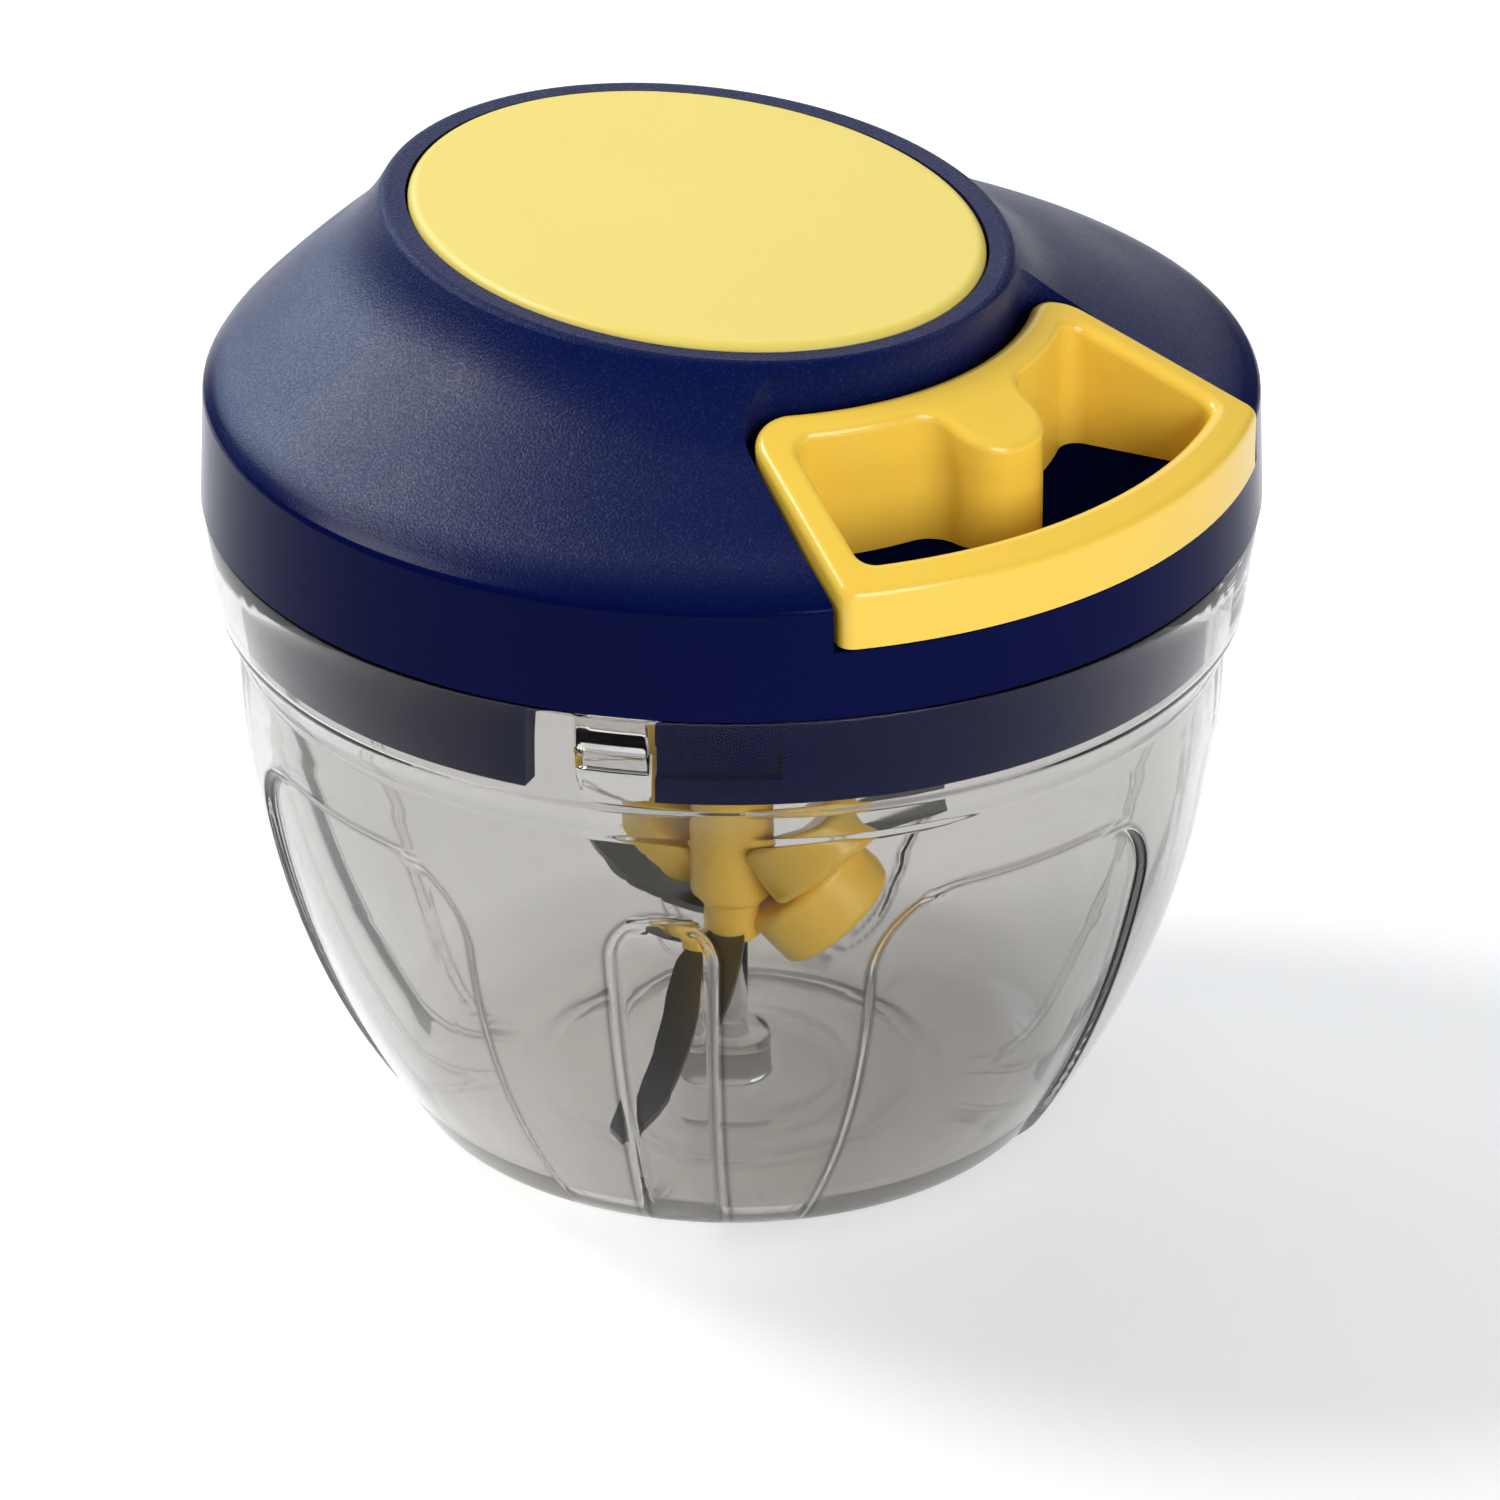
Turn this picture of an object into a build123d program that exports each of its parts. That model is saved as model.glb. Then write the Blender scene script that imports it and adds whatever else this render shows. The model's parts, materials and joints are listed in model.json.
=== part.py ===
from build123d import *
import os
from math import acos, cos, degrees, radians, sin, sqrt, tan

# A hand-pulled vegetable chopper, in millimetres. The base stands on z = 0, the bowl's axis is Z,
# and the handle is pulled out towards -Y.
os.makedirs("parts", exist_ok=True)

# Fits shared by all pieces
running_gap = 0.25
seat_gap = 0.15
overrun = 2.0

# Bowl shell
bowl_height = 81.0
rim_radius = 62.3
collar_height = 12.7
collar_draft = 1.4
shoulder_height = 4.8
shoulder_step = 2.3
body_taper = 21.0
bowl_wall = 2.2
floor_thickness = 2.4
foot_ring_width = 10.6
foot_recess = 0.8
foot_rounding = 12.0
rim_rounding = 0.6

# Grip panels and narrow flutes around the bowl
panel_count = 4
first_flute_angle = -143.0
panel_width = 40.0
panel_foot_width = 33.0
panel_top = 55.0
panel_corner = 11.0
panel_depth = 0.7
flute_width = 12.8
flute_foot_width = 9.4
flute_top = 53.4
flute_depth = 1.1
corner_share = 0.95

# Centre post that the blade holder turns on
post_radius = 4.7
post_height = 5.1
pin_radius = 1.9
pin_show = 13.5
pin_hold = 11.0

# Bayonet lugs on the bowl and slots in the lid's skirt
lug_width = 8.3
lug_height = 3.0
lug_drop = 6.7
lug_reach = 1.6
lug_turn = -5.0
lock_turn = 14.0
entry_lead = 6.2

# Lid shell
lid_overhang = 0.2
shoulder_draft = 0.5
band_height = 13.5
lid_wall = 2.2
dome_rise = 18.4
lip_width = 3.0
lip_shift = 6.0
cap_tilt = 2.4
lip_rounding = 1.4
shoulder_rounding = 1.0
dome_reach_shares = (0.0, 0.08, 0.25, 0.45, 0.65, 0.85, 1.0)
dome_rise_shares = (0.0, 0.085, 0.21, 0.375, 0.535, 0.74, 1.0)
dome_shift_shares = (0.0, 0.14, 0.40, 0.60, 0.77, 0.91, 1.0)
inset_radius_share = 0.55
inset_height_share = 0.85

# Top cap
cap_narrowing = 5.7
cap_fit = 0.3
cap_recess = 4.2
cap_proud = 0.6
cap_rounding = 1.3
cap_wall = 1.4

# Handle, a fan-shaped loop around the pull direction
handle_set_in = 0.1
fan_half_width = 15.5
fan_side_angle = 20.0
handle_rise = 8.4
handle_front_height = 7.0
handle_back_height = 17.6
back_bar = 4.0
front_bar = 4.8
side_bar = 4.2
boss_width = 12.0
boss_reach_share = 0.46
boss_flare_share = 0.46
boss_rounding_share = 0.64
handle_corner = 4.6
handle_front_corner = 2.0
loop_corner = 2.2
handle_edge = 1.3
pocket_gap = 1.6
pocket_side_gap = 0.9
handle_floor_gap = 0.3

# Cord, its guide and its knot
cord_diameter = 2.0
cord_rise = 14.85
cord_bend_radius = 6.0
cord_bend_reach = 28.0
guide_radius = 3.0
guide_bore = 3.0
guide_flange_radius = 4.2
guide_flange = 1.0
knot_radius = 2.3
knot_room = 0.7
knot_wall = 1.8
knot_round_share = 0.8

# Base plate of the lid
plate_thickness = 2.2
skirt_wall = 2.6
skirt_fit = 0.1
skirt_rise = 0.9
hub_collar_wall = 2.2
hub_collar_drop = 7.0
plate_fit = 0.1
base_screw_count = 3
base_screw_set_in = 12.6
first_base_screw_angle = 90.0
screw_boss_radius = 4.2
screw_shank_radius = 1.4
screw_head_radius = 2.8
screw_head_height = 1.8
screw_length = 9.0
screw_slot_width = 0.8

# Axle with a screw and washer at each end
axle_radius = 3.0
axle_screw_radius = 1.5
axle_washer_radius = 5.2
axle_washer = 0.8
roof_boss_radius = 6.5

# Reel with its cord winding and return spring
drum_radius = 18.0
drum_wall = 2.0
flange_reach = 8.0
flange = 1.4
reel_gap = 5.4
groove_height = 5.0
winding_thickness = 2.0
spring_strip = 0.5
spring_turns = 6
spring_clearance = 0.3
cover_thickness = 0.9

# One-way clutch
ratchet_reach = 1.5
ratchet_wall = 2.3
tooth_depth = 2.0
ratchet_teeth = 12
ratchet_height = 4.4
ratchet_phase = 24.0
tooth_ramp_share = 0.92
hub_radius = 11.5
hub_flange_radius = 13.5
hub_flange = 1.6
hub_boss_radius = 5.2
hub_web = 2.0
hub_drop = 15.5
pawl_count = 2
pawl_pivot_radius = 10.0
pawl_pivot_angle = 62.0
pawl_eye_radius = 2.1
pawl_tip_set_in = 1.6
pawl_tip_angle = 28.5
pawl_tip_radius = 0.8
pawl_pin_radius = 1.0

# Blade holder and blades
drive_width = 12.4
drive_sides = 6
drive_height = 12.0
drive_chamfer = 1.0
stem_radius = 5.0
stem_rounding = 1.2
neck_radius = 3.4
neck_height = 5.0
wing_reach = 10.5
wing_half_length = 8.2
wing_half_width = 6.4
wing_thickness = 7.5
wing_tilt = 42.0
wing_rounding = 1.2
wing_heights = (4.5, 11.5, 14.0)
wing_angles = (-45.0, 80.0, -70.0)
blade_thickness = 0.9
blade_width = 8.0
blade_root = 2.4
blade_bow = 2.5
root_share = 0.55
edge_share = 0.75
spine_share = 1.05
tip_share = 0.5
blade_names = ("lower", "middle", "upper")
blade_heights = (1.2, 2.6, 4.4)
blade_drops = (8.3, 0.0, 0.0)
blade_clearances = (3.2, 21.5, 8.3)
blade_angles = (-150.0, 92.0, 9.0)

# Radii worked out from the sizes above
collar_foot_radius = rim_radius - collar_draft
body_radius = collar_foot_radius - shoulder_step
foot_radius = body_radius - body_taper
lid_radius = rim_radius + lid_overhang
shoulder_radius = lid_radius - shoulder_draft
skirt_radius = collar_foot_radius - bowl_wall - skirt_fit
base_screw_reach = skirt_radius - base_screw_set_in
flange_radius = drum_radius + flange_reach
pocket_back_radius = flange_radius + reel_gap + lid_wall
handle_inner_radius = pocket_back_radius + pocket_gap
handle_outer_radius = lid_radius - handle_set_in
lip_along = pocket_back_radius + lip_shift
lip_across = lip_along - cap_narrowing
cap_along = lip_along - lip_width
cap_across = lip_across - lip_width
ratchet_outer_radius = drum_radius + ratchet_reach
ratchet_root_radius = ratchet_outer_radius - ratchet_wall
ratchet_tip_radius = ratchet_root_radius - tooth_depth
pawl_tip_reach = ratchet_root_radius - pawl_tip_set_in

# Levels worked out from the sizes above
floor_top = floor_thickness
post_top = floor_top + post_height
stem_bottom = post_top + pin_show
pin_top = stem_bottom + pin_hold
skirt_drop = collar_height - skirt_rise
collar_foot = bowl_height - collar_height
body_top = collar_foot - shoulder_height
lid_bottom = bowl_height + seat_gap
shoulder_level = lid_bottom + band_height
lip_level = shoulder_level + dome_rise
plate_top = lid_bottom + plate_thickness
pocket_floor = lid_bottom + handle_rise - handle_floor_gap
handle_bottom = lid_bottom + handle_rise
cord_level = lid_bottom + cord_rise
reel_bottom = cord_level - groove_height / 2 - flange
drum_top = cord_level + groove_height / 2 + flange
cap_floor = lip_level - cap_recess
roof = cap_floor - lid_wall
ratchet_bottom = reel_bottom - ratchet_height
hub_top = ratchet_bottom - running_gap
hub_bottom = hub_top - hub_flange - hub_drop
web_bottom = hub_top - hub_flange - hub_web
washer_bottom = web_bottom - running_gap - axle_washer
hub_screw_bottom = washer_bottom - screw_head_height
drive_top = hub_screw_bottom - running_gap * 2
flute_angles = [first_flute_angle + 360 / panel_count * i for i in range(panel_count)]
lug_angles = [angle + lug_turn for angle in flute_angles]


def upright_plane(angle):
    """A vertical plane through the axis whose normal points along the given angle."""
    turn = radians(angle)
    return Plane(origin=(0, 0, 0), x_dir=(-sin(turn), cos(turn), 0), z_dir=(cos(turn), sin(turn), 0))


def lid_plane(shift, level, tilt):
    """A level plane of the lid, moved back by shift and tilted down towards the handle."""
    rise = radians(tilt)
    return Plane(origin=(0, shift, level), x_dir=(0, cos(rise), sin(rise)), z_dir=(0, -sin(rise), cos(rise)))


def dome_sections(inset):
    """Planes and half sizes of the dome's ovals, drawn in by inset."""
    sections = []
    for reach, rise, shift in zip(dome_reach_shares, dome_rise_shares, dome_shift_shares):
        along = shoulder_radius + (lip_along - shoulder_radius) * reach - inset * inset_radius_share
        across = shoulder_radius + (lip_across - shoulder_radius) * reach - inset * inset_radius_share
        level = shoulder_level + dome_rise * rise - inset * inset_height_share
        sections.append((lid_plane(lip_shift * shift, level, cap_tilt * reach), along, across))
    return sections


def sector(inner, outer, start, end):
    """A piece of a ring between two radii and two angles."""
    with BuildSketch() as area:
        with BuildLine():
            near = CenterArc((0, 0), inner, start, end - start)
            far = CenterArc((0, 0), outer, start, end - start)
            Line(near @ 0, far @ 0)
            Line(near @ 1, far @ 1)
        make_face()
    return area.sketch


def fan(grow, inner, outer):
    """The handle's plan outline between two radii, with its sides moved out by grow."""
    side = radians(fan_side_angle)
    half_root = fan_half_width + grow / cos(side)
    reach = handle_outer_radius + overrun
    half_end = half_root + reach * tan(side)
    with BuildSketch() as area:
        with BuildLine():
            Polyline((-half_root, 0), (half_root, 0), (half_end, -reach), (-half_end, -reach), close=True)
        make_face()
        Circle(outer, mode=Mode.INTERSECT)
        Circle(inner, mode=Mode.SUBTRACT)
    return area.sketch


def rounded_fan(grow, inner, outer):
    """The handle's plan outline with its back corners rounded."""
    with BuildSketch() as area:
        add(fan(grow, inner, outer))
        fillet(area.vertices().group_by(Axis.Y)[-1], handle_corner + grow)
    return area.sketch


def polar(radius, angle):
    return (radius * cos(radians(angle)), radius * sin(radians(angle)))


def arch(width, foot_width, top, corner):
    """An upright outline with rounded top corners, slightly narrower at its foot."""
    with BuildSketch() as area:
        with BuildLine():
            Polyline((-foot_width / 2, -overrun), (foot_width / 2, -overrun), (width / 2, top - corner),
                     (width / 2, top), (-width / 2, top), (-width / 2, top - corner), close=True)
        make_face()
        fillet(area.vertices().group_by(Axis.Y)[-1], corner * corner_share)
    return area.sketch


panel_outline = arch(panel_width, panel_foot_width, panel_top, panel_corner)
flute_outline = arch(flute_width, flute_foot_width, flute_top, flute_width / 2)


def wall_layer(depth):
    """The outer skin of the bowl's body, depth thick, with room outside it."""
    with BuildPart() as layer:
        with BuildSketch(Plane.XZ):
            with BuildLine():
                skin = TangentArc((body_radius - depth, body_top), (foot_radius - depth, 0), tangent=(0, -1))
                Polyline(skin @ 1, (body_radius + overrun, 0), (body_radius + overrun, body_top), skin @ 0)
            make_face()
        revolve(axis=Axis.Z)
    return layer.part


def recesses(outline, angles, depth):
    """Recesses of one outline cut into the bowl's skin at each angle."""
    with BuildPart() as cuts:
        for angle in angles:
            with BuildSketch(upright_plane(angle)):
                add(outline)
            extrude(amount=rim_radius)
        add(wall_layer(depth), mode=Mode.INTERSECT)
    return cuts.part


panel_cuts = recesses(panel_outline, [angle + 180 / panel_count for angle in flute_angles], panel_depth)
flute_cuts = recesses(flute_outline, flute_angles, flute_depth)

# Bowl
with BuildPart() as bowl:
    with BuildSketch(Plane.XZ):
        with BuildLine():
            side = TangentArc((body_radius, body_top), (foot_radius, 0), tangent=(0, -1))
            Polyline(side @ 1, (0, 0), (0, bowl_height), (rim_radius, bowl_height),
                     (collar_foot_radius, collar_foot), side @ 0)
        make_face()
    revolve(axis=Axis.Z)
    fillet(bowl.edges().group_by(Axis.Z)[0], foot_rounding)
    with BuildSketch(Plane.XZ):
        with BuildLine():
            inside = TangentArc((body_radius - bowl_wall, body_top), (foot_radius - bowl_wall, floor_top),
                                tangent=(0, -1))
            Polyline(inside @ 1, (0, floor_top), (0, bowl_height), (rim_radius - bowl_wall, bowl_height),
                     (collar_foot_radius - bowl_wall, collar_foot), inside @ 0)
        make_face()
    revolve(axis=Axis.Z, mode=Mode.SUBTRACT)
    fillet(bowl.edges().group_by(Axis.Z)[-1], rim_rounding)
    add(panel_cuts, mode=Mode.SUBTRACT)
    add(flute_cuts, mode=Mode.SUBTRACT)
    with BuildSketch():
        Circle(foot_radius - foot_ring_width)
    extrude(amount=foot_recess, mode=Mode.SUBTRACT)
    with BuildSketch(Plane.XY.offset(floor_top)):
        Circle(post_radius)
    extrude(amount=post_height)
    with BuildSketch(Plane.XY.offset(post_top)):
        Circle(pin_radius)
    extrude(amount=pin_top - post_top)
    lug_half_angle = degrees(lug_width / 2 / skirt_radius)
    lug_level = bowl_height - lug_drop - lug_height / 2
    wall_at_lug = rim_radius - bowl_wall / 2 - (rim_radius - collar_foot_radius) * lug_drop / collar_height
    with BuildSketch(Plane.XY.offset(lug_level)):
        for angle in lug_angles:
            add(sector(wall_at_lug - lug_reach - bowl_wall / 2, wall_at_lug, angle - lug_half_angle,
                       angle + lug_half_angle))
    extrude(amount=lug_height)

# Room inside the lid, with the walls and posts that stay in it left out
handle_pocket = rounded_fan(pocket_side_gap, pocket_back_radius, lid_radius + overrun)
pocket_walls = rounded_fan(pocket_side_gap + lid_wall, pocket_back_radius - lid_wall, lid_radius + overrun)
with BuildPart() as lid_room:
    for plane, along, across in dome_sections(lid_wall):
        with BuildSketch(plane):
            Ellipse(along, across)
    loft()
    with BuildSketch(Plane.XY.offset(lip_level - cap_recess)):
        Circle(lid_radius)
    extrude(amount=cap_recess + overrun, mode=Mode.SUBTRACT)
    with BuildSketch(lid_plane(lip_shift, roof, cap_tilt)):
        Circle(lid_radius)
    extrude(amount=cap_recess * 2, mode=Mode.SUBTRACT)
    with BuildSketch(Plane.XY.offset(lid_bottom - overrun)):
        Circle(lid_radius - lid_wall)
    extrude(amount=band_height + overrun - lid_wall * inset_height_share)
    with BuildSketch(Plane.XY.offset(pocket_floor - lid_wall)):
        add(pocket_walls)
    extrude(amount=lip_level, mode=Mode.SUBTRACT)
    with BuildSketch(Plane.XY.offset(plate_top)):
        with PolarLocations(base_screw_reach, base_screw_count, first_base_screw_angle):
            Circle(screw_boss_radius)
    extrude(amount=lip_level, mode=Mode.SUBTRACT)
    with BuildSketch(Plane.XY.offset(drum_top + running_gap)):
        Circle(roof_boss_radius)
    extrude(amount=lip_level, mode=Mode.SUBTRACT)

# Lid housing
with BuildPart() as lid_housing:
    with BuildSketch(Plane.XY.offset(lid_bottom)):
        Circle(lid_radius)
    with BuildSketch(Plane.XY.offset(shoulder_level)):
        Circle(shoulder_radius)
    loft()
    for plane, along, across in dome_sections(0):
        with BuildSketch(plane):
            Ellipse(along, across)
    loft()
    fillet(lid_housing.faces().sort_by(Axis.Z)[-1].edges(), lip_rounding)
    fillet(lid_housing.edges().filter_by_position(Axis.Z, shoulder_level - seat_gap, shoulder_level + seat_gap),
           shoulder_rounding)
    add(lid_room.part, mode=Mode.SUBTRACT)
    with BuildSketch(lid_plane(lip_shift, cap_floor, cap_tilt)):
        Ellipse(cap_along + cap_fit, cap_across + cap_fit)
    extrude(amount=cap_recess * 2, mode=Mode.SUBTRACT)
    with BuildSketch(Plane.XY.offset(pocket_floor)):
        add(handle_pocket)
    extrude(amount=lip_level, mode=Mode.SUBTRACT)
    with BuildSketch(Plane.XY.offset(plate_top)):
        with PolarLocations(base_screw_reach, base_screw_count, first_base_screw_angle):
            Circle(screw_shank_radius)
    extrude(amount=screw_length, mode=Mode.SUBTRACT)
    with BuildSketch(Plane.XY.offset(drum_top)):
        Circle(axle_radius + running_gap)
    extrude(amount=lip_level, mode=Mode.SUBTRACT)
    with BuildSketch(Plane.XZ.offset(pocket_back_radius - lid_wall - overrun)):
        with Locations((0, cord_level)):
            Circle(guide_radius)
    extrude(amount=lid_wall + overrun * 2, mode=Mode.SUBTRACT)

# Top cap
with BuildPart() as top_cap:
    with BuildSketch(lid_plane(lip_shift, cap_floor, cap_tilt)):
        Ellipse(cap_along, cap_across)
    extrude(amount=cap_recess + cap_proud)
    fillet(top_cap.faces().sort_by(Axis.Z)[-1].edges(), cap_rounding)
    with BuildSketch(lid_plane(lip_shift, cap_floor, cap_tilt)):
        Ellipse(cap_along - cap_wall, cap_across - cap_wall)
    extrude(amount=cap_recess + cap_proud - cap_wall, mode=Mode.SUBTRACT)

# Base plate of the lid, with the skirt that holds the bayonet slots
slot_top = lug_level + lug_height + running_gap * 2
slot_bottom = lug_level - running_gap * 2
slot_margin = degrees(running_gap * 2 / skirt_radius)
with BuildPart() as lid_base:
    with BuildSketch(Plane.XY.offset(lid_bottom)):
        Circle(lid_radius - lid_wall - plate_fit)
    extrude(amount=plate_thickness)
    with BuildSketch(Plane.XY.offset(bowl_height - skirt_drop)):
        Circle(skirt_radius)
        Circle(skirt_radius - skirt_wall, mode=Mode.SUBTRACT)
    extrude(amount=skirt_drop + seat_gap)
    with BuildSketch(Plane.XY.offset(lid_bottom - hub_collar_drop)):
        Circle(hub_radius + running_gap + hub_collar_wall)
    extrude(amount=hub_collar_drop)
    with BuildSketch(Plane.XY.offset(lid_bottom - hub_collar_drop)):
        Circle(hub_radius + running_gap)
    extrude(amount=hub_collar_drop + plate_thickness, mode=Mode.SUBTRACT)
    with BuildSketch(Plane.XY.offset(bowl_height - skirt_drop)):
        for angle in lug_angles:
            add(sector(skirt_radius - skirt_wall - overrun, skirt_radius + overrun,
                       angle - lug_half_angle - entry_lead, angle + lug_half_angle + slot_margin))
    extrude(amount=skirt_drop + seat_gap, mode=Mode.SUBTRACT)
    with BuildSketch(Plane.XY.offset(slot_bottom)):
        for angle in lug_angles:
            add(sector(skirt_radius - skirt_wall / 2, skirt_radius + overrun, angle,
                       angle + lug_half_angle + lock_turn + slot_margin))
    extrude(amount=slot_top - slot_bottom, mode=Mode.SUBTRACT)
    with BuildSketch(Plane.XY.offset(lid_bottom)):
        with PolarLocations(base_screw_reach, base_screw_count, first_base_screw_angle):
            Circle(screw_shank_radius)
    extrude(amount=plate_thickness, mode=Mode.SUBTRACT)

# Screws that hold the base plate
with BuildPart() as base_screws:
    with BuildSketch(Plane.XY.offset(lid_bottom - screw_head_height)):
        with PolarLocations(base_screw_reach, base_screw_count, first_base_screw_angle):
            Circle(screw_head_radius)
    extrude(amount=screw_head_height)
    with BuildSketch(Plane.XY.offset(lid_bottom)):
        with PolarLocations(base_screw_reach, base_screw_count, first_base_screw_angle):
            Circle(screw_shank_radius)
    extrude(amount=screw_length)
    with BuildSketch(Plane.XY.offset(lid_bottom - screw_head_height)):
        with PolarLocations(base_screw_reach, base_screw_count, first_base_screw_angle):
            Rectangle(screw_head_radius * 2, screw_slot_width)
            Rectangle(screw_slot_width, screw_head_radius * 2)
    extrude(amount=screw_head_height / 2, mode=Mode.SUBTRACT)

# Handle
loop_opening_radius = handle_inner_radius + back_bar
boss_reach = (handle_outer_radius - front_bar - loop_opening_radius) * boss_reach_share
boss_flare = boss_reach * boss_flare_share
boss_rounding = boss_reach * boss_rounding_share
knot_length = knot_radius * 2
knot_reach = loop_opening_radius + boss_reach - knot_wall - knot_room - knot_radius
with BuildSketch() as loop_sketch:
    add(fan(-side_bar, loop_opening_radius, handle_outer_radius - front_bar))
    with Locations((0, -loop_opening_radius)):
        Rectangle(boss_width, boss_reach * 2, mode=Mode.SUBTRACT)
    fillet(loop_sketch.vertices().filter_by(lambda corner: abs(corner.X) > boss_width), loop_corner)
    boss_corners = loop_sketch.vertices().filter_by(lambda corner: abs(corner.X) < boss_width)
    fillet(boss_corners.group_by(Axis.Y)[0], boss_rounding)
    boss_corners = loop_sketch.vertices().filter_by(lambda corner: abs(corner.X) < boss_width)
    fillet(boss_corners.group_by(Axis.Y)[-1], boss_flare)
with BuildPart() as pull_handle:
    with BuildSketch(Plane.XZ):
        Polygon((handle_inner_radius, handle_bottom), (handle_outer_radius, handle_bottom),
                (handle_outer_radius, handle_bottom + handle_front_height),
                (handle_inner_radius, handle_bottom + handle_back_height), align=None)
    revolve(axis=Axis.Z)
    with BuildSketch(Plane.XY.offset(handle_bottom)):
        add(rounded_fan(0, handle_inner_radius, handle_outer_radius))
    extrude(amount=handle_back_height, mode=Mode.INTERSECT)
    fillet(pull_handle.edges().filter_by(Axis.Z).group_by(Axis.Y)[0], handle_front_corner)
    with BuildSketch(Plane.XY.offset(handle_bottom)):
        add(loop_sketch.sketch)
    extrude(amount=handle_back_height, mode=Mode.SUBTRACT)
    with BuildSketch(Plane.XZ.offset(handle_inner_radius - overrun)):
        with Locations((0, cord_level)):
            Circle(cord_diameter / 2 + running_gap)
    extrude(amount=knot_reach - handle_inner_radius + overrun, mode=Mode.SUBTRACT)
    with BuildSketch(Plane.XY.offset(handle_bottom)):
        with Locations((0, -(knot_reach - knot_radius))):
            Rectangle(knot_length + knot_room * 2, knot_length + knot_room, align=(Align.CENTER, Align.MAX))
    extrude(amount=cord_level + knot_radius + knot_room - handle_bottom, mode=Mode.SUBTRACT)
    fillet(pull_handle.faces().filter_by(GeomType.CONE).edges(), handle_edge)

# Cord, from the reel through the guide to its knot in the handle
wrap_radius = drum_radius + winding_thickness + cord_diameter / 2 + running_gap
leave_angle = degrees(acos(wrap_radius / cord_bend_reach))
leave_point = polar(wrap_radius, -90 - leave_angle)
with BuildPart() as pull_cord:
    with BuildLine() as cord_route:
        FilletPolyline((leave_point[0], leave_point[1], cord_level), (0, -cord_bend_reach, cord_level),
                       (0, -(knot_reach - knot_radius), cord_level), radius=cord_bend_radius)
    with BuildSketch(Plane(cord_route.line @ 0, z_dir=cord_route.line % 0)):
        Circle(cord_diameter / 2)
    sweep()

with BuildPart() as cord_knot:
    with BuildSketch(Plane.XZ.offset(knot_reach - knot_radius)):
        with Locations((0, cord_level)):
            Circle(knot_radius)
    extrude(amount=knot_length)
    fillet(cord_knot.edges(), knot_radius * knot_round_share)

# Guide bush for the cord in the pocket's back wall
with BuildPart() as cord_guide:
    guide_seat = pocket_back_radius - lid_wall
    flange_seat = sqrt(guide_seat ** 2 - guide_flange_radius ** 2) - running_gap
    with BuildSketch(Plane.XZ.offset(flange_seat - guide_flange)):
        with Locations((0, cord_level)):
            Circle(guide_flange_radius)
    extrude(amount=guide_flange)
    with BuildSketch(Plane.XZ.offset(flange_seat)):
        with Locations((0, cord_level)):
            Circle(guide_radius)
    extrude(amount=guide_seat + lid_wall - flange_seat)
    with BuildSketch(Plane.XZ.offset(flange_seat - guide_flange)):
        with Locations((0, cord_level)):
            Circle(guide_bore / 2)
    extrude(amount=guide_seat + lid_wall - flange_seat + guide_flange, mode=Mode.SUBTRACT)
    fillet(cord_guide.edges().group_by(Axis.Y)[-1], guide_flange / 2 - seat_gap)

# Reel: a drum between two flanges, hollow for the spring, with a ratchet ring under it
with BuildSketch() as ratchet_opening:
    with BuildLine():
        tooth_points = []
        for tooth in range(ratchet_teeth):
            start = ratchet_phase + 360 / ratchet_teeth * tooth
            tooth_points.append(polar(ratchet_root_radius, start))
            tooth_points.append(polar(ratchet_tip_radius, start + 360 / ratchet_teeth * tooth_ramp_share))
        Polyline(*tooth_points, close=True)
    make_face()
with BuildPart() as reel:
    with BuildSketch(Plane.XY.offset(reel_bottom)):
        Circle(flange_radius)
    extrude(amount=flange)
    with BuildSketch(Plane.XY.offset(reel_bottom + flange)):
        Circle(drum_radius)
    extrude(amount=groove_height)
    with BuildSketch(Plane.XY.offset(drum_top - flange)):
        Circle(flange_radius)
    extrude(amount=flange)
    with BuildSketch(Plane.XY.offset(reel_bottom + flange)):
        Circle(drum_radius - drum_wall)
    extrude(amount=groove_height + flange, mode=Mode.SUBTRACT)
    with BuildSketch(Plane.XY.offset(ratchet_bottom)):
        Circle(ratchet_outer_radius)
        add(ratchet_opening.sketch, mode=Mode.SUBTRACT)
    extrude(amount=ratchet_height)
    with BuildSketch(Plane.XY.offset(reel_bottom)):
        Circle(axle_radius + running_gap)
    extrude(amount=flange, mode=Mode.SUBTRACT)

# Cord wound on the drum
with BuildPart() as cord_winding:
    with BuildSketch(Plane.XY.offset(reel_bottom + flange + running_gap)):
        Circle(drum_radius + winding_thickness)
        Circle(drum_radius, mode=Mode.SUBTRACT)
    extrude(amount=groove_height - running_gap * 2)

# Return spring, a flat strip wound in half turns between the axle and the drum
spring_start = axle_radius + spring_clearance + spring_strip / 2
spring_end = drum_radius - drum_wall - spring_clearance - spring_strip / 2
half_turn_growth = (spring_end - spring_start) / (2 * spring_turns)
with BuildPart() as return_spring:
    with BuildSketch(Plane.XY.offset(reel_bottom + flange + spring_clearance)):
        with BuildLine():
            ends = []
            for face in (-spring_strip / 2, spring_strip / 2):
                for half in range(2 * spring_turns):
                    centre = half_turn_growth * (half % 2)
                    turn = CenterArc((centre, 0), spring_start + half_turn_growth * half + face, 180 * half, 180)
                    if half == 0:
                        first = turn @ 0
                ends.append((first, turn @ 1))
            Line(ends[0][0], ends[1][0])
            Line(ends[0][1], ends[1][1])
        make_face()
    extrude(amount=groove_height + flange - cover_thickness - spring_clearance * 2)

# Cover that keeps the spring in the drum
with BuildPart() as spring_cover:
    with BuildSketch(Plane.XY.offset(drum_top - cover_thickness)):
        Circle(drum_radius - drum_wall - plate_fit)
        Circle(axle_radius + running_gap, mode=Mode.SUBTRACT)
    extrude(amount=cover_thickness)

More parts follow.
